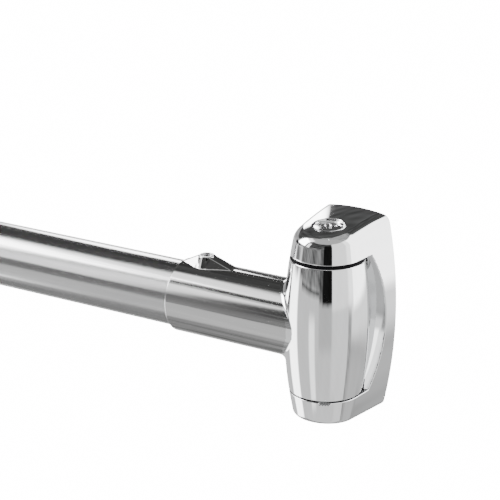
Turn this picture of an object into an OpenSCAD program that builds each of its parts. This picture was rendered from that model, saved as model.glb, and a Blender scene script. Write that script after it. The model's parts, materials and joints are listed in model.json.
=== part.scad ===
// Window security bar: one round tube between two swivelling wall brackets.
// +X runs along the bar, +Y points into the wall and +Z points up.
// The origin is under the middle of the bar, level with the feet of both brackets.
// Each end is drawn once around its own pivot, for the +X end, and mirrored for the other.

/* [Bar] */
// Distance between the two pivot axes
pivot_spacing = 600; // [300:10:1200]
// Outside diameter of the tube
tube_d = 25.4; // [24:0.1:25.6]
// Wall thickness of the tube
tube_wall = 1.2; // [0.8:0.1:2]
// Gap from each pivot axis to the end of the tube
tube_gap = 27; // [26:0.5:30]

/* [Swivel] */
// Widest diameter of the swivel barrel
barrel_d = 30.8; // [30.6:0.1:32]
// Radius of the barrel's bulging outline
bulge_r = 170; // [150:1:260]
// Outside diameter of the sleeve that holds the tube
sleeve_d = 28.2; // [27.8:0.1:28.4]
// Reach of the sleeve from the pivot axis
sleeve_reach = 61.5; // [60:0.5:70]
// How far the tube's axis lies below the middle of the barrel
tube_drop = 1; // [0:0.1:2]
// Distance from the pivot axis to the clamp screw
clamp_x = 51.5; // [50:0.5:52]
// Diameter of the raised seat around the clamp screw
boss_d = 6.2; // [6:0.1:7]
// Height of that seat above the top of the sleeve
boss_h = 3.5; // [2.4:0.1:4]

/* [Bracket] */
// Distance from the pivot axis to the wall
wall_y = 22.4; // [21:0.1:26]
// Height of the mouth between the two arms
mouth_h = 52; // [51:0.5:56]
// Height of the arched top's crown above the middle of the mouth
crown_h = 38.8; // [38.5:0.1:41]
// Distance from the pivot axis to the crown
crown_y = 26; // [20:0.5:30]
// Radius of the arched top
crown_r = 190; // [160:1:240]
// Depth of the foot below the middle of the mouth, at the pivot axis
foot_h = 36.1; // [35.5:0.1:38]
// Slope of the foot's face, in degrees
foot_slope = 3.8; // [2:0.1:5]
// Angle by which each side opens towards the wall, in degrees
side_angle = 4.5; // [4:0.5:4.5]
// Radius of the hollow in each side wall's front edge
window_r = 48.3; // [46:0.1:52]
// Distance from the pivot axis to the deepest point of that hollow
window_y = 14.8; // [14.6:0.1:15]
// Distance between the two wall screw holes
wall_screw_spacing = 32; // [30:1:34]
// Diameter of each wall screw hole
wall_hole_d = 5.2; // [4.5:0.1:5.6]

/* [Pivot] */
// Diameter of the pivot screw
pivot_d = 6; // [5:0.1:6.2]
// Diameter of the pivot screw's head
pivot_head_d = 11.6; // [11:0.1:12]
// Outside diameter of the bushes in the barrel
bush_d = 10; // [9:0.1:11]
// Thickness of the washer on top of the barrel
washer_t = 1; // [0.8:0.1:1.1]

/* [Hidden] */
$fn = 96;

tube_r = tube_d / 2;
barrel_r = barrel_d / 2;
sleeve_r = sleeve_d / 2;
pivot_r = pivot_d / 2;
half_mouth = mouth_h / 2;

// Clearances: a shaft in its hole, a turning face, and the barrel in its cradle
fit_gap = 0.05;
face_gap = 0.1;
cradle_gap = 0.5;

// The barrel's ends lie just inside the mouth
barrel_top = half_mouth - washer_t - face_gap;
barrel_bottom = -half_mouth + 0.5;

// Places of the whole object in its own frame
foot_z = foot_h + wall_y * tan(foot_slope);
centre_y = (wall_y - barrel_r) / 2;
socket_floor_x = 18;

// Puts one end's part in place: side is 1 at the +X end and -1 at the -X end
module at_end(side) {
    translate([side * pivot_spacing / 2, -centre_y, foot_z])
        mirror([side > 0 ? 0 : 1, 0, 0])
            children();
}

// Half outline of the barrel from height z0 to z1, standing out by grow
module bulge_outline(z0, z1, grow = 0, inner_x = 0) {
    intersection() {
        translate([barrel_r - bulge_r, 0])
            circle(r = bulge_r + grow, $fn = 360);
        translate([inner_x, z0])
            square([barrel_r + 5 - inner_x, z1 - z0]);
    }
}

// Solid along X whose section is drawn in Y and Z, from x0 to x1
module along_x(x0, x1) {
    translate([x0, 0, 0])
        rotate([90, 0, 90])
            linear_extrude(x1 - x0)
                children();
}

// Solid turned about the tube's axis from an outline of distance and radius
module turned_on_tube_axis() {
    translate([0, 0, -tube_drop])
        rotate([0, -90, 0])
            rotate_extrude()
                children();
}

// ---------- bracket ----------

// Height of the arched top at distance y from the pivot axis
function top_z(y) = crown_h - crown_r + sqrt(pow(crown_r, 2) - pow(y - crown_y, 2));

// Height that clears the top and the foot
beyond = crown_h + 2;

// One straight side of the bracket, tangent to the nose and opening to the wall
module bracket_side() {
    side_length = wall_y + 8;
    rotate([0, 0, -side_angle])
        rotate([90, 0, 0])
            translate([0, 0, -side_length])
                linear_extrude(side_length)
                    bulge_outline(-beyond, beyond, 0, -6);
}

// The bracket's profile from the side: an arched top, a sloping foot and a flat back
module bracket_profile() {
    front_y = -barrel_r - 2;
    intersection() {
        translate([crown_y, crown_h - crown_r])
            circle(r = crown_r, $fn = 360);
        polygon([
            [front_y, -foot_h - front_y * tan(foot_slope)],
            [wall_y, -foot_z],
            [wall_y, beyond],
            [front_y, beyond]
        ]);
    }
}

// The bracket's outside: a round nose and two sides, cut to the profile
module bracket_blank() {
    intersection() {
        union() {
            rotate([0, 0, 180 + side_angle])
                rotate_extrude(angle = 180 - 2 * side_angle)
                    bulge_outline(-beyond, beyond);
            bracket_side();
            mirror([1, 0, 0])
                bracket_side();
        }
        along_x(-30, 30)
            bracket_profile();
    }
}

// The mouth between the arms: a cradle for the barrel and a window on each side
module bracket_mouth() {
    rotate_extrude()
        bulge_outline(-half_mouth, half_mouth, cradle_gap);
    along_x(-30, 30)
        intersection() {
            translate([window_y - window_r, 0])
                circle(r = window_r, $fn = 180);
            translate([-30, -half_mouth])
                square([60, mouth_h]);
        }
}

// The cored-out back: a shallow middle pocket and a deep pocket in each arm
module bracket_coring() {
    rim = 2.6;
    middle_depth = 2.2;
    arm_depth = 11;
    middle_w = 24;
    arm_w = 20;
    arm_pocket_z = half_mouth + 2.4;
    arm_pocket_h = foot_z - rim - arm_pocket_z;
    screw_boss_r = wall_hole_d / 2 + 2.4;
    rib = 1.6;
    difference() {
        translate([-middle_w / 2, wall_y - middle_depth, -half_mouth])
            cube([middle_w, middle_depth + 1, mouth_h]);
        for (z = [-wall_screw_spacing / 2, wall_screw_spacing / 2])
            translate([0, wall_y + 2, z])
                rotate([90, 0, 0])
                    cylinder(r = screw_boss_r, h = middle_depth + 4);
        for (x = [-rib / 2, middle_w / 3 - rib / 2, -middle_w / 3 - rib / 2])
            translate([x, wall_y - middle_depth - 1, -half_mouth - 1])
                cube([rib, middle_depth + 3, mouth_h + 2]);
    }
    for (s = [-1, 1])
        translate([-arm_w / 2, wall_y - arm_depth, s > 0 ? arm_pocket_z : -arm_pocket_z - arm_pocket_h])
            cube([arm_w, arm_depth + 1, arm_pocket_h]);
}

// The top of the pivot screw's head, level with the arched top just in front of the axis
head_seat_z = top_z(-1);
head_h = (pivot_head_d - pivot_d) / 2;

// Hex pocket for the nut, open at the bracket's foot
nut_flats = pivot_d + 4;
nut_pocket_z = -half_mouth - 4.4;
lock_washer_t = 1.2;
nut_t = 3.2;

module wall_bracket() {
    hole_r = pivot_r + fit_gap;
    head_r = pivot_head_d / 2 + 0.15;
    countersink = 2.4;
    notch_w = 4;
    notch_turn = 27.5;
    color("silver")
        difference() {
            bracket_blank();
            bracket_mouth();
            bracket_coring();
            // pivot screw hole, its countersink and the nut's hex pocket
            translate([0, 0, -foot_z - 1])
                cylinder(r = hole_r, h = 2 * foot_z + 2);
            translate([0, 0, head_seat_z - head_h - 0.15])
                cylinder(r1 = hole_r, r2 = head_r, h = head_h + 0.15);
            translate([0, 0, head_seat_z])
                cylinder(r = head_r, h = 5);
            translate([0, 0, -foot_z - 1])
                cylinder(r = (nut_flats / 2 + 0.1) / cos(30), h = nut_pocket_z + foot_z + 1, $fn = 6);
            // wall screw holes, countersunk from inside the cradle
            for (z = [-wall_screw_spacing / 2, wall_screw_spacing / 2])
                translate([0, 0, z])
                    rotate([-90, 0, 0]) {
                        cylinder(r = wall_hole_d / 2, h = wall_y + 1);
                        cylinder(r = wall_hole_d / 2 + countersink, h = barrel_r);
                        translate([0, 0, barrel_r])
                            cylinder(
                                r1 = wall_hole_d / 2 + countersink,
                                r2 = wall_hole_d / 2,
                                h = countersink
                            );
                    }
            // small relief notch in the lip of the lower arm
            rotate([0, 0, notch_turn])
                translate([-notch_w / 2, -barrel_r - 2, -half_mouth - 0.6])
                    cube([notch_w, 5, 1]);
        }
}

module pivot_screw() {
    end_z = -foot_h + 0.5;
    recess_w = 1.3;
    recess_l = 6;
    recess_h = 2.2;
    recess_turn = 32;
    color("gainsboro")
        difference() {
            union() {
                translate([0, 0, end_z])
                    cylinder(r = pivot_r, h = head_seat_z - end_z);
                translate([0, 0, head_seat_z - head_h])
                    cylinder(r1 = pivot_r, r2 = pivot_head_d / 2, h = head_h);
            }
            for (turn = [recess_turn, recess_turn + 90])
                rotate([0, 0, turn])
                    translate([-recess_l / 2, -recess_w / 2, head_seat_z - recess_h])
                        cube([recess_l, recess_w, recess_h + 1]);
        }
}

module lock_washer() {
    washer_r = nut_flats / 2 - 0.2;
    color("dimgray")
        translate([0, 0, nut_pocket_z - lock_washer_t])
            difference() {
                cylinder(r = washer_r, h = lock_washer_t);
                translate([0, 0, -1])
                    cylinder(r = pivot_r + 0.15, h = lock_washer_t + 2);
                translate([0, -0.4, -1])
                    cube([washer_r + 1, 0.8, lock_washer_t + 2]);
            }
}

module pivot_nut() {
    color("dimgray")
        translate([0, 0, nut_pocket_z - lock_washer_t - nut_t])
            difference() {
                cylinder(r = nut_flats / 2 / cos(30), h = nut_t, $fn = 6);
                translate([0, 0, -1])
                    cylinder(r = pivot_r + 0.02, h = nut_t + 2);
            }
}

// ---------- swivel ----------

// Sleeve with an eased lip, reaching out along -X
module sleeve_blank() {
    turned_on_tube_axis()
        polygon([
            [0, 0],
            [sleeve_r, 0],
            [sleeve_r, sleeve_reach - 2.2],
            [sleeve_r - 0.45, sleeve_reach - 0.8],
            [sleeve_r - 1.15, sleeve_reach],
            [0, sleeve_reach]
        ]);
}

boss_top = sleeve_r - tube_drop + boss_h;

// Raised seat around the clamp screw, with a wing sloping down to each side
module clamp_boss() {
    inner_wing = 11.8;
    outer_wing = 8.8;
    wing_w = 4.2;
    skirt_w = 9.2;
    crown_z = sleeve_r - tube_drop;
    base_z = crown_z - 2;
    translate([-clamp_x, 0, 0]) {
        hull() {
            translate([0, 0, boss_top - 1])
                cylinder(d = boss_d, h = 1, $fn = 32);
            translate([0, 0, base_z])
                cylinder(d = skirt_w, h = 0.9, $fn = 32);
        }
        hull() {
            translate([0, 0, boss_top - 0.8])
                cube([boss_d / 2, wing_w, 0.4], center = true);
            translate([0, 0, base_z])
                cube([boss_d / 2, skirt_w - 2, 0.4], center = true);
            for (x = [inner_wing, -outer_wing])
                translate([x, 0, crown_z])
                    cube([0.4, wing_w, 0.4], center = true);
        }
    }
}

clamp_r = 2;
bush_l = 12;

module swivel_socket() {
    color("silver")
        difference() {
            union() {
                rotate_extrude()
                    bulge_outline(barrel_bottom, barrel_top);
                sleeve_blank();
                clamp_boss();
            }
            // bore for the tube
            translate([-socket_floor_x, 0, -tube_drop])
                rotate([0, -90, 0])
                    cylinder(r = tube_r + fit_gap, h = sleeve_reach);
            // pivot bore and a seat for each bush
            translate([0, 0, -half_mouth])
                cylinder(r = pivot_r + 0.8, h = mouth_h);
            translate([0, 0, barrel_top - bush_l])
                cylinder(d = bush_d, h = bush_l + 1);
            translate([0, 0, barrel_bottom - 1])
                cylinder(d = bush_d, h = bush_l + 1);
            // threaded hole for the clamp screw
            translate([-clamp_x, 0, tube_r - tube_drop - 1])
                cylinder(r = clamp_r + fit_gap, h = 8);
        }
}

module upper_bush() {
    color("ivory")
        translate([0, 0, barrel_top - bush_l])
            difference() {
                cylinder(d = bush_d, h = bush_l);
                translate([0, 0, -1])
                    cylinder(r = pivot_r + fit_gap, h = bush_l + 2);
            }
}

module lower_bush() {
    flange_t = 0.4;
    flange_r = bush_d / 2 + 3;
    color("ivory")
        difference() {
            union() {
                translate([0, 0, barrel_bottom])
                    cylinder(d = bush_d, h = bush_l);
                translate([0, 0, barrel_bottom - flange_t])
                    cylinder(r = flange_r, h = flange_t);
            }
            translate([0, 0, -half_mouth])
                cylinder(r = pivot_r + fit_gap, h = bush_l + 4);
        }
}

module thrust_washer() {
    washer_r = barrel_r - 2;
    color("#2a2a2c")
        translate([0, 0, barrel_top])
            difference() {
                cylinder(r = washer_r, h = washer_t);
                translate([0, 0, -1])
                    cylinder(r = pivot_r + 0.2, h = washer_t + 2);
            }
}

// ---------- clamp ----------

tip_t = 0.7;
tip_z = tube_r - tube_drop + 0.1;

module clamp_screw() {
    socket_flats = 2;
    screw_top = boss_top - 0.5;
    color("gray")
        translate([-clamp_x, 0, 0])
            difference() {
                translate([0, 0, tip_z + tip_t])
                    cylinder(r = clamp_r, h = screw_top - tip_z - tip_t);
                translate([0, 0, screw_top - 1.6])
                    cylinder(r = socket_flats / 2 / cos(30), h = 2, $fn = 6);
            }
}

module clamp_tip() {
    color("ivory")
        translate([-clamp_x, 0, tip_z])
            cylinder(r = clamp_r - 0.3, h = tip_t);
}

// ---------- tube ----------

module tube() {
    tube_l = pivot_spacing - 2 * tube_gap;
    color("lightgray")
        translate([-tube_l / 2, -centre_y, foot_z - tube_drop])
            rotate([0, 90, 0])
                difference() {
                    cylinder(r = tube_r, h = tube_l);
                    translate([0, 0, -1])
                        cylinder(r = tube_r - tube_wall, h = tube_l + 2);
                }
}

tube();
at_end(-1) wall_bracket();  // left_wall_bracket
at_end(-1) pivot_screw();  // left_pivot_screw
at_end(-1) pivot_nut();  // left_pivot_nut
at_end(-1) lock_washer();  // left_lock_washer
at_end(-1) swivel_socket();  // left_swivel_socket
at_end(-1) upper_bush();  // left_upper_bush
at_end(-1) lower_bush();  // left_lower_bush
at_end(-1) thrust_washer();  // left_thrust_washer
at_end(-1) clamp_screw();  // left_clamp_screw
at_end(-1) clamp_tip();  // left_clamp_tip
at_end(1) wall_bracket();  // right_wall_bracket
at_end(1) pivot_screw();  // right_pivot_screw
at_end(1) pivot_nut();  // right_pivot_nut
at_end(1) lock_washer();  // right_lock_washer
at_end(1) swivel_socket();  // right_swivel_socket
at_end(1) upper_bush();  // right_upper_bush
at_end(1) lower_bush();  // right_lower_bush
at_end(1) thrust_washer();  // right_thrust_washer
at_end(1) clamp_screw();  // right_clamp_screw
at_end(1) clamp_tip();  // right_clamp_tip
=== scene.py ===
"""Looks of the window security bar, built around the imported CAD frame.

The castings, screws and nuts are modelled as distance fields, meshed here and shaded
with the fields' own normals. Everything about one end is in millimetres around its
pivot, for the right end; the left end is its mirror image.
"""
import json
import math

import bpy
import numpy as np
from mathutils import Matrix, Vector


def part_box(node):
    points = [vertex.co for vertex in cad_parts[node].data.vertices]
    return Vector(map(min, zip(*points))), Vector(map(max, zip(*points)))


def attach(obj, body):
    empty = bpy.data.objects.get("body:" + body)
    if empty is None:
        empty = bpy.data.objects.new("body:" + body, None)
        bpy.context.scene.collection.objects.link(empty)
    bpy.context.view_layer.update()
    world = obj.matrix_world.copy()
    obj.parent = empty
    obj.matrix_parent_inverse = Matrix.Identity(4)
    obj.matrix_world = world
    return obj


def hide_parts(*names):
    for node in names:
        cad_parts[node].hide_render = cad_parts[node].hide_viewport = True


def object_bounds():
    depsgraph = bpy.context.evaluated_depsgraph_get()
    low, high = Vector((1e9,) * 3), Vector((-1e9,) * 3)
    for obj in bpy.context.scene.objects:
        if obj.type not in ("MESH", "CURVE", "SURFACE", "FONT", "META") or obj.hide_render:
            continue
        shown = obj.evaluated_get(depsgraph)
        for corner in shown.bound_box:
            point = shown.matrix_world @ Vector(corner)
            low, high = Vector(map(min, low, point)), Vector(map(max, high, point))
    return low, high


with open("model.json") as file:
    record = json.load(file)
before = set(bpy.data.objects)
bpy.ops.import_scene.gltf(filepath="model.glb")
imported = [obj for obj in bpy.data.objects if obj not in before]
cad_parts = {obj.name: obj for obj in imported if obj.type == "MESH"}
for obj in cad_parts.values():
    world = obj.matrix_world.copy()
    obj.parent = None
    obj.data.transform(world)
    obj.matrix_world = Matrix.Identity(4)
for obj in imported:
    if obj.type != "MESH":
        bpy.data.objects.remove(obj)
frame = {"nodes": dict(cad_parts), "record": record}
cad_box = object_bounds()

MM = 0.001
ENDS = {"left": -1.0, "right": 1.0}


# ---------------------------------------------------------------- sizes, in millimetres
def size_of(node):
    """A CAD node's box as two corners, in millimetres."""
    low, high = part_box(node)
    return np.array(low) / MM, np.array(high) / MM


def pivot_of(joint_name):
    """Where a joint's axis stands, in millimetres."""
    for joint in frame["record"]["behaviour"]["joints"]:
        if joint["name"] == joint_name:
            return np.array(joint["pos_m"]) / MM
    raise KeyError(joint_name)


screw_low, screw_high = size_of("right_pivot_screw")
bracket_low, bracket_high = size_of("right_wall_bracket")
swivel_low, swivel_high = size_of("right_swivel_socket")
tube_low, tube_high = size_of("tube")
washer_low, washer_high = size_of("right_thrust_washer")

PIVOT = pivot_of("right_bracket_swing")
TUBE_R = (tube_high[1] - tube_low[1]) / 2
TUBE_WALL = 1.2
TUBE_DROP = PIVOT[2] - (tube_low[2] + tube_high[2]) / 2

# swivel: a bulging barrel and a sleeve on one side of it
BARREL_R = swivel_high[0] - PIVOT[0]
BARREL_TOP = washer_low[2] - PIVOT[2]
BARREL_BOTTOM = -25.5
BULGE_R = 170.0
SLEEVE_R = 14.1
SLEEVE_REACH = PIVOT[0] - swivel_low[0]
SLEEVE_CROWN = SLEEVE_R - TUBE_DROP
SOCKET_FLOOR = 18.0
BUSH_R = 5.0
BUSH_L = 12.0

# bracket: its top is arched from front to back by CROWN_R and side to side by CROSS_R
WALL_Y = bracket_high[1] - PIVOT[1]
FOOT_Z = PIVOT[2] - bracket_low[2]
FOOT_SLOPE = math.radians(3.8)
FOOT_H = FOOT_Z - WALL_Y * math.tan(FOOT_SLOPE)
CROWN_H = 38.8
CROWN_Y = 26.0
CROWN_R = 190.0
CROSS_R = 71.0
SIDE_ANGLE = math.radians(4.5)
HALF_MOUTH = 26.0
CRADLE_GAP = 0.5
WINDOW_R = 48.3
WINDOW_Y = 14.8
WALL_HOLE_Z = 16.0

# screws
PIVOT_R = 3.0
HEAD_R = (screw_high[0] - screw_low[0]) / 2
HEAD_TOP = screw_high[2] - PIVOT[2]
NUT_FLATS = 10.0
NUT_HALF_H = 1.6
NUT_POCKET_WALL = 4.4
CLAMP_X = 51.5
CLAMP_R = 2.0
BOSS_TOP = SLEEVE_CROWN + 3.5


# ---------------------------------------------------------------- distance fields
COS_30 = 0.8660254
COS_45 = 0.7071
# scale of a one in one cone's field, close to the cosine of its angle
CONE = 0.75


def both_round(a, b, r):
    """Inside a and inside b, with the edge between them rounded to radius r."""
    corner = np.hypot(np.maximum(a + r, 0), np.maximum(b + r, 0))
    return np.minimum(np.maximum(a, b), -r) + corner


def either_round(a, b, r):
    """Inside a or inside b, with a fillet of radius r between them."""
    corner = np.hypot(np.maximum(r - a, 0), np.maximum(r - b, 0))
    return np.maximum(np.minimum(a, b), r) - corner


def without(a, b, r):
    """Inside a and outside b, with the cut's edge rounded to radius r."""
    return both_round(a, -b, r)


def bulge(z):
    """Radius of the barrel's bulging outline at height z."""
    return BARREL_R - BULGE_R + np.sqrt(BULGE_R**2 - z**2)


def block(x, y, z, half):
    """A block centred on the origin, from its half sizes."""
    return np.maximum(np.maximum(abs(x) - half[0], abs(y) - half[1]), abs(z) - half[2])


def hexagon(x, y, flats):
    """Six flat sides, flats apart, around the Z axis."""
    ax, ay = abs(x), abs(y)
    return np.maximum(ay, 0.5 * ay + COS_30 * ax) - flats / 2


def bracket_field(x, y, z):
    """The C-shaped wall bracket."""
    body = bracket_outside(x, y, z)
    mouth_edge_r, core_edge_r, hole_edge_r, seat_edge_r, notch_edge_r = 0.35, 0.3, 0.2, 0.35, 0.12
    body = without(body, bracket_mouth(x, y, z), mouth_edge_r)
    back_cores, arm_cores = bracket_cores(x, y, z)
    body = without(body, back_cores, core_edge_r)
    body = without(body, arm_cores, core_edge_r)
    body = without(body, wall_screw_holes(x, y, z), hole_edge_r)
    seat, shank_and_nut = pivot_screw_holes(x, y, z)
    body = without(body, shank_and_nut, hole_edge_r)
    body = without(body, seat, seat_edge_r)
    return without(body, relief_notch(x, y, z), notch_edge_r)


def bracket_outside(x, y, z):
    """The bracket's outside: round nose, straight sides, arched top and sloping foot."""
    top_edge_r, foot_edge_r, back_edge_r = 3.2, 1.8, 1.2
    ax = abs(x)
    cos_a, sin_a = math.cos(SIDE_ANGLE), math.sin(SIDE_ANGLE)
    on_side = ax * sin_a + y * cos_a > 0
    outline = np.where(on_side, ax * cos_a - y * sin_a, np.hypot(x, y)) - bulge(z)
    over = np.hypot(x, z + CROSS_R - CROWN_H)
    top = np.hypot(y - CROWN_Y, over + CROWN_R - CROSS_R) - CROWN_R
    foot = -(z + FOOT_H + y * math.tan(FOOT_SLOPE)) * math.cos(FOOT_SLOPE)
    body = both_round(outline, y - WALL_Y, back_edge_r)
    body = both_round(body, top, top_edge_r)
    return both_round(body, foot, foot_edge_r)


def bracket_mouth(x, y, z):
    """The mouth that the barrel turns in, with the curved windows at its sides."""
    mouth_ends = abs(z) - HALF_MOUTH
    cradle = np.hypot(x, y) - bulge(z) - CRADLE_GAP
    window = np.hypot(y - WINDOW_Y + WINDOW_R, z) - WINDOW_R
    return np.maximum(np.minimum(cradle, window), mouth_ends)


def bracket_cores(x, y, z):
    """Pockets cored out of the back: behind the mouth, round ribs and bosses, and in the arms."""
    back_half_w, back_depth, rib, boss_r = 12.0, 2.2, 1.6, 5.0
    arm_half_w, arm_depth, arm_inner_wall, arm_outer_wall = 10.0, 11.0, 2.4, 2.6
    middle = block(x, y - WALL_Y, z, (back_half_w, back_depth, HALF_MOUTH))
    for rib_x in (-8.0, 0.0, 8.0):
        middle = np.maximum(middle, rib / 2 - abs(x - rib_x))
    middle = np.maximum(middle, boss_r - np.hypot(x, abs(z) - WALL_HOLE_Z))
    arm_low, arm_high = HALF_MOUTH + arm_inner_wall, FOOT_Z - arm_outer_wall
    arm_half = (arm_half_w, arm_depth, (arm_high - arm_low) / 2)
    return middle, block(x, y - WALL_Y, abs(z) - (arm_low + arm_high) / 2, arm_half)


def wall_screw_holes(x, y, z):
    """Two holes through the back, countersunk from inside the mouth."""
    hole_r, sink = 2.6, 2.4
    across = np.hypot(x, abs(z) - WALL_HOLE_Z)
    cone = (across - hole_r - np.clip(BARREL_R + sink - y, 0, sink)) * CONE
    return np.maximum(cone, -y)


def pivot_screw_holes(x, y, z):
    """The pivot screw's countersunk seat in the top arm, and its shank hole and nut pocket."""
    head_gap, shank_gap, nut_flats = 0.15, 0.05, 10.2
    rho = np.hypot(x, y)
    seat = (rho - HEAD_R - head_gap - np.clip(z - HEAD_TOP, PIVOT_R - HEAD_R, 0)) * CONE
    seat = np.where(z > HEAD_TOP, rho - HEAD_R - head_gap, seat)
    seat = np.maximum(seat, HEAD_TOP - HEAD_R + PIVOT_R - z)
    shank = rho - PIVOT_R - shank_gap
    nut = np.maximum(hexagon(y, x, nut_flats), z + HALF_MOUTH + NUT_POCKET_WALL)
    return seat, np.minimum(shank, nut)


def relief_notch(x, y, z):
    """The relief notch in the lower arm's lip."""
    turn, half, inset = math.radians(27.5), (2.0, 2.5, 0.6), 0.5
    u = x * math.cos(turn) + y * math.sin(turn)
    v = y * math.cos(turn) - x * math.sin(turn)
    return block(u, v + BARREL_R - inset, z + HALF_MOUTH, half)


def swivel_field(x, y, z):
    """The swivel: barrel, sleeve and clamp seat in one casting."""
    barrel_edge_r, lip_r, fillet_r, seat_fillet_r = 0.45, 0.4, 2.4, 0.3
    bore_edge_r, pivot_edge_r, clamp_edge_r = 0.15, 0.2, 0.3
    tube_gap, pivot_gap, clamp_gap, least_squareness = 0.05, 0.8, 0.05, 0.02
    rho = np.hypot(x, y)
    middle_z = (BARREL_TOP + BARREL_BOTTOM) / 2
    barrel_ends = abs(z - middle_z) - (BARREL_TOP - BARREL_BOTTOM) / 2
    barrel = both_round(rho - bulge(z), barrel_ends, barrel_edge_r)
    around_tube = np.hypot(y, z + TUBE_DROP)
    sleeve_ends = abs(x + SLEEVE_REACH / 2) - SLEEVE_REACH / 2
    sleeve = both_round(around_tube - SLEEVE_R, sleeve_ends, lip_r)
    # the fillet fades out at the sleeve's front and back, where the surfaces are nearly parallel
    squareness = np.clip(1 - (y / SLEEVE_R) ** 2, least_squareness, 1)
    body = either_round(barrel, sleeve, fillet_r * squareness)
    body = either_round(body, clamp_seat_field(x + CLAMP_X, y, z), seat_fillet_r)
    bore = np.maximum(around_tube - TUBE_R - tube_gap, x + SOCKET_FLOOR)
    body = without(body, bore, bore_edge_r)
    bush_ends = np.minimum(BARREL_TOP - BUSH_L - z, z - BARREL_BOTTOM - BUSH_L)
    bush_seat = np.maximum(rho - BUSH_R, bush_ends)
    pivot_bore = np.minimum(rho - PIVOT_R - pivot_gap, bush_seat)
    body = without(body, pivot_bore, pivot_edge_r)
    clamp_hole = np.hypot(x + CLAMP_X, y) - CLAMP_R - clamp_gap
    clamp_hole = np.maximum(clamp_hole, TUBE_R - TUBE_DROP - 1 - z)
    return without(body, clamp_hole, clamp_edge_r)


def clamp_seat_field(x, y, z):
    """Raised seat of the clamp screw: a cone between two sloping wings."""
    top_r, base_r, cone_h = 3.0, 4.6, 4.2
    inner_wing, outer_wing, wing_half, wing_rise, side_slope = 11.8, 8.8, 2.1, 2.9, 0.6
    wing_toe, wing_cap, wing_tip, seat_depth = 0.15, 0.3, 0.4, 2.5
    cone_edge_r, wing_edge_r, fillet_r = 0.3, 0.15, 0.3
    flare = (base_r - top_r) / cone_h
    radius = top_r + (BOSS_TOP - z) * flare
    cone = (np.hypot(x, y) - radius) / math.hypot(1, flare)
    cone = both_round(cone, z - BOSS_TOP, cone_edge_r)
    wing_l = np.where(x > 0, inner_wing, outer_wing)
    along = (abs(x) - top_r) / (wing_l - top_r)
    ridge = SLEEVE_CROWN + wing_toe + wing_rise * (1 - along)
    ridge = np.minimum(ridge, BOSS_TOP - wing_cap)
    fall = math.cos(math.atan(wing_rise / (outer_wing - top_r)))
    side = (abs(y) - wing_half - (ridge - z) * side_slope) / math.hypot(1, side_slope)
    wing = both_round(side, (z - ridge) * fall, wing_edge_r)
    wing = np.maximum(wing, abs(x) - wing_l - wing_tip)
    seat = either_round(cone, wing, fillet_r)
    return np.maximum(seat, SLEEVE_CROWN - seat_depth - z)


def pivot_screw_field(x, y, z):
    """Countersunk machine screw with a cross recess; z is 0 at the head's top."""
    dome, rim_edge_r, recess_edge_r = 35.0, 0.25, 0.18
    turn = math.radians(32)
    arm_half_w, arm_half_l, arm_taper, recess_depth = 0.8, 3.0, 0.22, 2.2
    dish_r, dish_taper = 1.7, 0.9
    rho = np.hypot(x, y)
    x, y = x * math.cos(turn) + y * math.sin(turn), y * math.cos(turn) - x * math.sin(turn)
    head = np.maximum(rho - HEAD_R, (rho - HEAD_R - z) * COS_45)
    body = both_round(np.minimum(head, rho - PIVOT_R), z + rho**2 / (2 * dome), rim_edge_r)
    half_w = arm_half_w + z * arm_taper * 0.5
    half_l = arm_half_l + z * arm_taper * 3
    cross = np.minimum(
        np.maximum(abs(x) - half_w, abs(y) - half_l),
        np.maximum(abs(y) - half_w, abs(x) - half_l),
    )
    dish = rho - dish_r - z * dish_taper
    recess = np.maximum(np.minimum(cross, dish), -recess_depth - z)
    return without(body, recess, recess_edge_r)


def clamp_screw_field(x, y, z):
    """Set screw with a hexagon socket; z is 0 at its top."""
    pitch, thread_depth, end_edge_r = 0.7, 0.12, 0.3
    socket_flats, socket_depth, socket_edge_r = 2.0, 1.6, 0.1
    rho = np.hypot(x, y)
    turn = np.arctan2(y, x) / (2 * math.pi)
    thread = thread_depth * abs(2 * np.mod(z / pitch - turn, 1) - 1)
    body = both_round(rho - CLAMP_R + thread, z, end_edge_r)
    socket = np.maximum(hexagon(x, y, socket_flats), -socket_depth - z)
    return without(body, socket, socket_edge_r)


def nut_field(x, y, z):
    """Hexagon nut with chamfered corners, around its own middle."""
    edge_r, corner_gap, thread_gap, lead_in = 0.1, 0.2, 0.1, 0.6
    rho = np.hypot(x, y)
    body = both_round(hexagon(y, x, NUT_FLATS), abs(z) - NUT_HALF_H, edge_r)
    corner = (rho - NUT_FLATS / 2 - corner_gap + (abs(z) - NUT_HALF_H) * 1.7) * 0.5
    body = np.maximum(body, corner)
    bore = rho - PIVOT_R - thread_gap
    lead = (rho - PIVOT_R - lead_in + (NUT_HALF_H - abs(z))) * 0.7
    return without(body, np.minimum(bore, lead), edge_r)


# ---------------------------------------------------------------- meshing
# keeps the steps towards the surface short where a field is nearly level
LEAST_STEEP = 0.2
CELL_CORNERS = [(i, j, k) for i in (0, 1) for j in (0, 1) for k in (0, 1)]
CELL_EDGES = [
    (a, b)
    for a in range(8)
    for b in range(a + 1, 8)
    if sum(abs(p - q) for p, q in zip(CELL_CORNERS[a], CELL_CORNERS[b])) == 1
]


def slope_of(field, points, step=0.01):
    """The field's gradient at each point, by central differences."""
    out = np.empty_like(points)
    for axis in range(3):
        shift = np.zeros(3)
        shift[axis] = step
        ahead = field(*(points + shift).T)
        behind = field(*(points - shift).T)
        out[:, axis] = (ahead - behind) / (2 * step)
    return out


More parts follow.
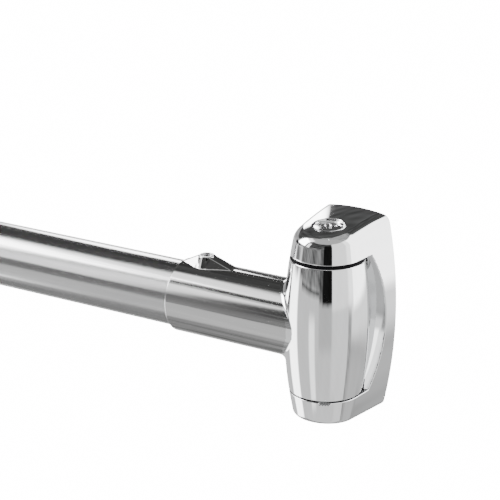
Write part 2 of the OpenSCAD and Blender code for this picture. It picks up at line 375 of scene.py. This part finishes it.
def net_of(field, low, high, cell):
    """Surface net of a field: vertices, quads and normals, in the field's own units."""
    low = np.array(low, float) - 1.5 * cell
    counts = np.ceil((np.array(high, float) + 1.5 * cell - low) / cell).astype(int) + 1
    axes = [low[a] + cell * np.arange(counts[a]) for a in range(3)]
    grid = np.meshgrid(*axes, indexing="ij")
    value = field(*grid)
    inside = value < 0
    cells = tuple(c - 1 for c in counts)
    total = np.zeros(cells)
    where = np.zeros(cells + (3,))

    def corner(array, at):
        return array[at[0]:at[0] + cells[0], at[1]:at[1] + cells[1], at[2]:at[2] + cells[2]]

    for a, b in CELL_EDGES:
        start, end = CELL_CORNERS[a], CELL_CORNERS[b]
        va, vb = corner(value, start), corner(value, end)
        crossed = corner(inside, start) != corner(inside, end)
        t = np.where(crossed, va / np.where(crossed, va - vb, 1), 0)
        for axis in range(3):
            place = start[axis] + t * (end[axis] - start[axis])
            where[..., axis] += np.where(crossed, place, 0)
        total += crossed
    used = total > 0
    index = np.full(cells, -1)
    index[used] = np.arange(used.sum())
    base = np.argwhere(used)
    points = low + cell * (base + where[used] / total[used][:, None])
    for _ in range(4):
        slope = slope_of(field, points)
        steep = np.maximum((slope**2).sum(1), LEAST_STEEP)
        step = (field(*points.T) / steep)[:, None] * slope
        points = points - np.clip(step, -cell / 2, cell / 2)
    quads = []
    for axis in range(3):
        u, v = (axis + 1) % 3, (axis + 2) % 3
        one = [slice(None)] * 3
        two = [slice(None)] * 3
        one[axis], two[axis] = slice(0, -1), slice(1, None)
        change = inside[tuple(one)].astype(int) - inside[tuple(two)].astype(int)
        keep = np.argwhere(change != 0)
        keep = keep[(keep[:, u] > 0) & (keep[:, v] > 0)]
        keep = keep[(keep[:, u] < cells[u]) & (keep[:, v] < cells[v])]
        ring = []
        for du, dv in ((-1, -1), (0, -1), (0, 0), (-1, 0)):
            at = keep.copy()
            at[:, u] += du
            at[:, v] += dv
            ring.append(index[tuple(at.T)])
        quad = np.stack(ring, 1)
        flip = change[tuple(keep.T)] < 0
        quad[flip] = quad[flip][:, ::-1]
        quads.append(quad)
    slope = slope_of(field, points)
    normals = slope / np.maximum(np.linalg.norm(slope, axis=1), 1e-9)[:, None]
    return points, np.concatenate(quads), normals


def new_piece(name, points, faces, normals, materials, finish=None):
    """A smooth-shaded mesh object from arrays in metres; finish picks each face's material."""
    mesh = bpy.data.meshes.new(name)
    mesh.from_pydata(points.tolist(), [], faces.tolist())
    mesh.polygons.foreach_set("use_smooth", [True] * len(mesh.polygons))
    if normals is not None:
        mesh.normals_split_custom_set_from_vertices(normals.tolist())
    for material in materials:
        mesh.materials.append(material)
    if finish is not None:
        mesh.polygons.foreach_set("material_index", finish)
    mesh.update()
    piece = bpy.data.objects.new(name, mesh)
    bpy.context.scene.collection.objects.link(piece)
    return piece


def at_both_ends(part, net, offset, materials, body, inner=None):
    """Puts a part, modelled at the right end, at both ends in place of its CAD nodes.

    Where inner is true of a face's middle, the face takes the second material.
    """
    points, faces, normals = net
    finish = inner(*points[faces].mean(axis=1).T).astype(int) if inner else None
    for end, side in ENDS.items():
        placed = (points + offset) * (side, 1, 1)
        placed = (placed + PIVOT * (side, 1, 1)) * MM
        turned = normals * (side, 1, 1)
        order = faces if side > 0 else faces[:, ::-1]
        piece = new_piece(f"{end}_{part}_shape", placed, order, turned, materials, finish)
        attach(piece, f"{end}_{body}")
        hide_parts(f"{end}_{part}")


def lathe(profile, segments):
    """Surface turned about X from (x, radius) points that run round a closed outline."""
    profile = np.array(profile)
    n = len(profile)
    angle = np.linspace(0, 2 * math.pi, segments, endpoint=False)
    points = np.stack([
        np.repeat(profile[:, 0], segments),
        np.outer(profile[:, 1], np.cos(angle)).ravel(),
        np.outer(profile[:, 1], np.sin(angle)).ravel(),
    ], 1)
    ring = np.arange(segments)
    faces = []
    for i in range(n):
        j = (i + 1) % n
        faces.append(np.stack([
            i * segments + ring,
            j * segments + ring,
            j * segments + (ring + 1) % segments,
            i * segments + (ring + 1) % segments,
        ], 1))
    return points, np.concatenate(faces)


# ---------------------------------------------------------------- materials
def metal(name, colour, roughness, wear, grain, stretch=(1, 1, 1), bump=0.0, streaks=0.0):
    """Bare or plated metal whose roughness, colour and surface vary a little from place to place."""
    material = bpy.data.materials.new(name)
    material.use_nodes = True
    nodes, links = material.node_tree.nodes, material.node_tree.links
    shader = nodes["Principled BSDF"]
    shader.inputs["Metallic"].default_value = 1.0
    place = nodes.new("ShaderNodeTexCoord")
    scaled = nodes.new("ShaderNodeMapping")
    scaled.inputs["Scale"].default_value = stretch
    links.new(place.outputs["Object"], scaled.inputs["Vector"])
    fine = nodes.new("ShaderNodeTexNoise")
    fine.inputs["Scale"].default_value = grain
    fine.inputs["Detail"].default_value = 5
    links.new(scaled.outputs["Vector"], fine.inputs["Vector"])
    broad = nodes.new("ShaderNodeTexNoise")
    broad.inputs["Scale"].default_value = 60
    broad.inputs["Detail"].default_value = 3
    links.new(place.outputs["Object"], broad.inputs["Vector"])
    rough = nodes.new("ShaderNodeMapRange")
    rough.inputs["To Min"].default_value = roughness * (1 - wear)
    rough.inputs["To Max"].default_value = roughness * (1 + wear)
    links.new(fine.outputs["Fac"], rough.inputs["Value"])
    links.new(rough.outputs["Result"], shader.inputs["Roughness"])
    tint = nodes.new("ShaderNodeMix")
    tint.data_type = "RGBA"
    darkest = 0.96 - streaks
    tint.inputs["A"].default_value = (*[c * darkest for c in colour], 1)
    tint.inputs["B"].default_value = (*colour, 1)
    links.new((fine if streaks else broad).outputs["Fac"], tint.inputs["Factor"])
    links.new(tint.outputs["Result"], shader.inputs["Base Color"])
    if bump:
        raised = nodes.new("ShaderNodeBump")
        raised.inputs["Strength"].default_value = bump
        raised.inputs["Distance"].default_value = 0.0001
        links.new(fine.outputs["Fac"], raised.inputs["Height"])
        links.new(raised.outputs["Normal"], shader.inputs["Normal"])
    return material


def plastic(name, colour, roughness, gloss=0.5):
    """Moulded plastic or rubber with a faint sand-blasted grain."""
    material = metal(name, colour, roughness, 0.15, 2500, bump=0.15)
    shader = material.node_tree.nodes["Principled BSDF"]
    shader.inputs["Metallic"].default_value = 0.0
    shader.inputs["Specular IOR Level"].default_value = gloss
    return material


along_bar = (0.03, 1, 1)
chrome = metal("polished_chrome", (0.86, 0.865, 0.87), 0.03, 0.3, 90, bump=0.03)
# cast chrome for the mouth: rougher as cast, and its dark colour is painted shade for the shadow in
# the mouth
cast_chrome_painted_shade = metal("as_cast_chrome_painted_shade", (0.27, 0.275, 0.28), 0.14, 0.3, 500, bump=0.1)
satin_chrome = metal("satin_chrome", (0.7, 0.7, 0.7), 0.09, 0.35, 700, along_bar, 0.12, 0.2)
steel_tube = metal("brushed_tube", (0.66, 0.66, 0.665), 0.16, 0.25, 700, along_bar, 0.15, 0.2)
screw_steel = metal("bright_screw", (0.86, 0.86, 0.87), 0.1, 0.2, 300)
# darker steel for the cross recess: painted shade, the screw's own steel darkened where shade falls
recess_painted_shade = metal("screw_recess_painted_shade", (0.3, 0.3, 0.31), 0.2, 0.3, 900, bump=0.1)
plated_steel = metal("plated_steel", (0.5, 0.5, 0.51), 0.3, 0.3, 900, bump=0.2)
nylon = plastic("white_nylon", (0.78, 0.77, 0.72), 0.45)
black_washer = plastic("black_washer", (0.006, 0.006, 0.007), 0.7, 0.05)


# ---------------------------------------------------------------- pieces
def in_mouth(x, y, z):
    """True inside the bracket's mouth, which the polishing wheel doesn't reach; its faces get a
    darker chrome, painted shade for the shadow deep in the mouth.
    """
    near_arms = abs(z) < HALF_MOUTH + 0.05
    return near_arms & (np.hypot(x, y) < bulge(z) + CRADLE_GAP + 0.1)


def on_sleeve(x, y, z):
    """True on the swivel's sleeve, clear of the fillet round the barrel."""
    return np.hypot(x, y) > bulge(z) + 1.2


def in_recess(x, y, z):
    """True inside the pivot screw's cross recess, whose faces take a darker steel: painted shade in
    the recess.
    """
    in_depth = (z < -0.15) & (z > -2.4)
    in_open = pivot_screw_field(x, y, z - 0.3) > 0.25
    return in_depth & in_open & (np.hypot(x, y) < 3.4)


def build_castings():
    cell = 0.45
    outer = BARREL_R + 2.2
    low, high = (-outer, -BARREL_R, -FOOT_Z), (outer, WALL_Y, CROWN_H)
    bracket = net_of(bracket_field, low, high, cell)
    # the mouth's faces take the darker chrome, painted shade
    finishes = [chrome, cast_chrome_painted_shade]
    at_both_ends("wall_bracket", bracket, (0, 0, 0), finishes, "bracket", in_mouth)
    low, high = (-SLEEVE_REACH, -BARREL_R, BARREL_BOTTOM), (BARREL_R, BARREL_R, BARREL_TOP)
    swivel = net_of(swivel_field, low, high, cell)
    finishes = [chrome, satin_chrome]
    at_both_ends("swivel_socket", swivel, (0, 0, 0), finishes, "swivel", on_sleeve)


def build_pivot_screws():
    cell, tip_edge_r = 0.2, 0.5
    length = screw_high[2] - screw_low[2]

    def cut_to_length(x, y, z):
        return both_round(pivot_screw_field(x, y, z), -length - z, tip_edge_r)

    screw = net_of(cut_to_length, (-HEAD_R, -HEAD_R, -length), (HEAD_R, HEAD_R, 0), cell)
    finishes = [screw_steel, recess_painted_shade]
    at_both_ends("pivot_screw", screw, (0, 0, HEAD_TOP), finishes, "bracket", in_recess)


def build_pivot_nuts():
    cell, half_w = 0.15, 6
    nut = net_of(nut_field, (-half_w, -half_w, -NUT_HALF_H), (half_w, half_w, NUT_HALF_H), cell)
    low, high = size_of("right_pivot_nut")
    middle_z = (low[2] + high[2]) / 2 - PIVOT[2]
    at_both_ends("pivot_nut", nut, (0, 0, middle_z), [plated_steel], "bracket")


def build_clamp_screws():
    cell, tip_edge_r = 0.08, 0.2
    low, high = size_of("right_clamp_screw")
    length = high[2] - low[2]

    def cut_to_length(x, y, z):
        return both_round(clamp_screw_field(x, y, z), -length - z, tip_edge_r)

    clamp = net_of(cut_to_length, (-CLAMP_R, -CLAMP_R, -length), (CLAMP_R, CLAMP_R, 0), cell)
    place = (-CLAMP_X, 0, high[2] - PIVOT[2])
    at_both_ends("clamp_screw", clamp, place, [plated_steel], "clamp")


def build_tube():
    """The tube, as a lathed ring with broken edges."""
    edge, segments = 0.25, 256
    x0, x1 = tube_low[0], tube_high[0]
    inner = TUBE_R - TUBE_WALL
    profile = [
        (x0 + edge, TUBE_R), (x1 - edge, TUBE_R), (x1, TUBE_R - edge), (x1, inner + edge),
        (x1 - edge, inner), (x0 + edge, inner), (x0, inner + edge), (x0, TUBE_R - edge),
    ]
    points, faces = lathe(profile, segments)
    axis_y, axis_z = (tube_low[1] + tube_high[1]) / 2, (tube_low[2] + tube_high[2]) / 2
    points = points + (0, axis_y, axis_z)
    piece = new_piece("tube_shape", points * MM, faces[:, ::-1], None, [steel_tube])
    piece.data.set_sharp_from_angle(angle=math.radians(30))
    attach(piece, "tube")
    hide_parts("tube")


def dress_plain_nodes():
    """Gives the CAD nodes that keep their own shape their materials."""
    finishes = {
        "lock_washer": plated_steel,
        "upper_bush": nylon,
        "lower_bush": nylon,
        "clamp_tip": nylon,
        "thrust_washer": black_washer,
    }
    for end in ENDS:
        for part, material in finishes.items():
            mesh = frame["nodes"][f"{end}_{part}"].data
            mesh.materials.clear()
            mesh.materials.append(material)


build_castings()
build_pivot_screws()
build_pivot_nuts()
build_clamp_screws()
build_tube()
dress_plain_nodes()


# ---------------------------------------------------------------- stage, light and camera
# brightness of the white floor and backdrop
PALE = 16.0


def look_axes(azimuth, elevation):
    """Right, up and back directions of a camera at the given angles, in degrees."""
    a, e = math.radians(azimuth), math.radians(elevation)
    right = Vector((math.cos(a), math.sin(a), 0))
    back = Vector((math.sin(a) * math.cos(e), -math.cos(a) * math.cos(e), math.sin(e)))
    return right, back.cross(right), back


def add_camera():
    """The camera, at the photograph's angle to the right end."""
    aside, above, away, lens = 0.027665, 0.026165, 0.6, 119.5
    right, up, back = look_axes(31.72, 18.89)
    place = Vector(PIVOT.tolist()) * MM - right * aside + up * above + back * away
    turned = Matrix((right, up, back)).transposed().to_4x4()
    camera_data = bpy.data.cameras.new("camera")
    camera_data.sensor_width = 36
    camera_data.lens = lens
    camera = bpy.data.objects.new("camera", camera_data)
    camera.matrix_world = Matrix.Translation(place) @ turned
    bpy.context.scene.collection.objects.link(camera)
    bpy.context.scene.camera = camera


# The surroundings that light the bar and that the chrome mirrors, painted in this order
# over a plain mid grey. This isn't a plain soft light: the areas were set so that
# the right end's reflections fall where they do in the photograph, from this camera only.
# Each row has a brightness, two azimuths (0 is the front, 90 the right), two elevations
# and the width of the soft edge, all in degrees after the brightness.
MID_GREY = 0.5
STUDIO = [
    # below the horizon
    (1.15, (-180, 180), (-90, 0), 3),
    (0.95, (-58, 43), (-90, 0), 10),
    (1.6, (100, 180), (-23, 0), 6),
    (0.72, (100, 200), (-90, -24), 12),
    (0.45, (140, 200), (-90, -33), 10),
    (0.9, (-180, -95), (-90, 0), 6),
    (1.0, (-40, 60), (-90, -40), 8),
    (0.42, (-110, -44), (-90, -46), 8),
    (0.3, (-165, -100), (-90, -44), 10),
    (5.5, (-92, -58), (-42, -9), 6),
    (2.2, (-19, -3), (-42, -17), 6),
    # from the front to behind the right end, and overhead
    (0.62, (-75, 103), (50, 90), 4),
    (0.08, (-62, 42), (14, 52), 5),
    (0.25, (-56, 12), (-8.5, 16), 2),
    (0.12, (-46, 14), (-10.5, -8.5), 1),
    (2.6, (-45, -35), (10, 40), 3),
    (1.6, (43, 108), (-14, 52), 2),
    (2.4, (90, 112), (-14, 52), 8),
    (4.4, (106, 176), (-15, 50), 3),
    (0.38, (152, 180), (36, 56), 4),
    # large light on the left, the dark round it and the narrow light behind it
    (0.09, (-165, -92), (20, 74), 4),
    (2.6, (-84, -46), (48, 60), 6),
    (14.0, (-85, -52), (13, 49), 4),
    (0.085, (-206, -146.5), (8, 52), 2),
    (1.5, (-146.3, -138), (-3, 15), 3),
    (11.0, (-146.3, -138), (14, 27.5), 1.5),
    # narrow patches, each placed for one reflection
    (0.7, (8, 43), (-26, -8), 6),
    (0.16, (8, 20), (-12, 30), 3),
    (0.01, (17, 43), (-12.5, 40), 2),
    (0.1, (-62, -34), (46.2, 47.8), 1),
    (0.12, (-56, -32), (37.5, 39), 1),
    (0.04, (-98, -84), (-3, 12), 3),
    (0.05, (-80, -70), (-2, 8), 2),
    (0.35, (-84, -64), (-10, -4), 4),
]


def soft_step(value, low, high, width):
    """1 from low to high, easing to 0 over the width of the soft edge."""
    rise = np.clip((value - low) / width + 0.5, 0, 1)
    fall = np.clip((high - value) / width + 0.5, 0, 1)
    inside = np.minimum(rise, fall)
    return inside * inside * (3 - 2 * inside)


def mottle(azimuth, elevation):
    """Uneven patches from -1 to 1, which break up the dark areas.

    The azimuth's multiples are whole, so the pattern closes all the way round.
    """
    a, e = np.radians(azimuth), np.radians(elevation)
    bend = 2 * np.sin(5 * a + 9 * e) + 2 * np.sin(11 * e - 4 * a + 0.7)
    broad = np.sin(7 * a + 18 * e + bend / 2) + np.sin(13 * a - 13 * e + 1.1)
    fine = np.sin(41 * a + 33 * e + bend) * np.sin(52 * e - 19 * a - bend)
    return (broad + 2 * fine) / 4


def studio_brightness(azimuth, elevation):
    """Brightness of the dome in a direction, in degrees."""
    total = np.full(azimuth.shape, MID_GREY)
    for level, (az_low, az_high), (el_low, el_high), width in STUDIO:
        turned = np.mod(azimuth - az_low + 90, 360) + az_low - 90
        across = soft_step(turned, az_low, az_high, width)
        upward = soft_step(elevation, el_low, el_high, width)
        total = total + (level - total) * (across * upward)
    # the patches show in the dark parts, and hardly in the lights
    dark = soft_step(-total, -0.5, 0, 0.3)
    return total * (1 + mottle(azimuth, elevation) * (0.05 + 0.75 * dark))


def glow(name, strength=1.0, attribute=None):
    """A plain emitting material, of one strength or of a mesh attribute's."""
    material = bpy.data.materials.new(name)
    material.use_nodes = True
    material.cycles.emission_sampling = "NONE"
    nodes, links = material.node_tree.nodes, material.node_tree.links
    nodes.clear()
    light = nodes.new("ShaderNodeEmission")
    light.inputs["Strength"].default_value = strength
    out = nodes.new("ShaderNodeOutputMaterial")
    links.new(light.outputs["Emission"], out.inputs["Surface"])
    if attribute:
        read = nodes.new("ShaderNodeAttribute")
        read.attribute_name = attribute
        links.new(read.outputs["Fac"], light.inputs["Strength"])
    return material


def stage_piece(name, points, faces, material):
    """An object of the stage, which isn't part of the bar."""
    mesh = bpy.data.meshes.new(name)
    mesh.from_pydata(points, [], faces)
    mesh.materials.append(material)
    piece = bpy.data.objects.new(name, mesh)
    bpy.context.scene.collection.objects.link(piece)
    return piece


def add_studio_dome():
    """The scene's only light: a painted dome round the object, hidden from the camera."""
    radius, step = 4.0, 1
    azimuths = np.arange(-180, 180, step)
    elevations = np.arange(-90 + step / 2, 90, step)
    azimuth, elevation = [grid.ravel() for grid in np.meshgrid(azimuths, elevations)]
    a, e = np.radians(azimuth), np.radians(elevation)
    points = radius * np.stack([np.sin(a) * np.cos(e), -np.cos(a) * np.cos(e), np.sin(e)], 1)
    points = points + PIVOT * MM
    across = len(azimuths)
    faces = []
    for row in range(len(elevations) - 1):
        low, high = row * across, (row + 1) * across
        for i in range(across):
            beside = (i + 1) % across
            faces.append((low + i, low + beside, high + beside, high + i))
    light = glow("studio_light", attribute="brightness")
    dome = stage_piece("studio_dome", points.tolist(), faces, light)
    brightness = dome.data.attributes.new("brightness", "FLOAT", "POINT")
    brightness.data.foreach_set("value", studio_brightness(azimuth, elevation))
    dome.visible_camera = False


def add_floor():
    """A pale floor just under the feet, which doesn't light the bar or show in its reflections."""
    low, high = cad_box
    middle = (Vector(low) + Vector(high)) / 2
    reach, drop = 12.0, 0.0005
    z = low[2] - drop
    corners = ((-1, -1), (1, -1), (1, 1), (-1, 1))
    points = [(middle.x + sx * reach, middle.y + sy * reach, z) for sx, sy in corners]
    floor = stage_piece("floor", points, [(0, 1, 2, 3)], glow("pale_floor", PALE))
    floor.visible_glossy = False
    floor.visible_diffuse = False


def add_world():
    """A plain white backdrop, which the closed dome keeps off the bar."""
    world = bpy.data.worlds.new("studio")
    bpy.context.scene.world = world
    world.use_nodes = True
    nodes = world.node_tree.nodes
    nodes["Background"].inputs["Color"].default_value = (1, 1, 1, 1)
    nodes["Background"].inputs["Strength"].default_value = PALE


add_camera()
add_studio_dome()
add_floor()
add_world()
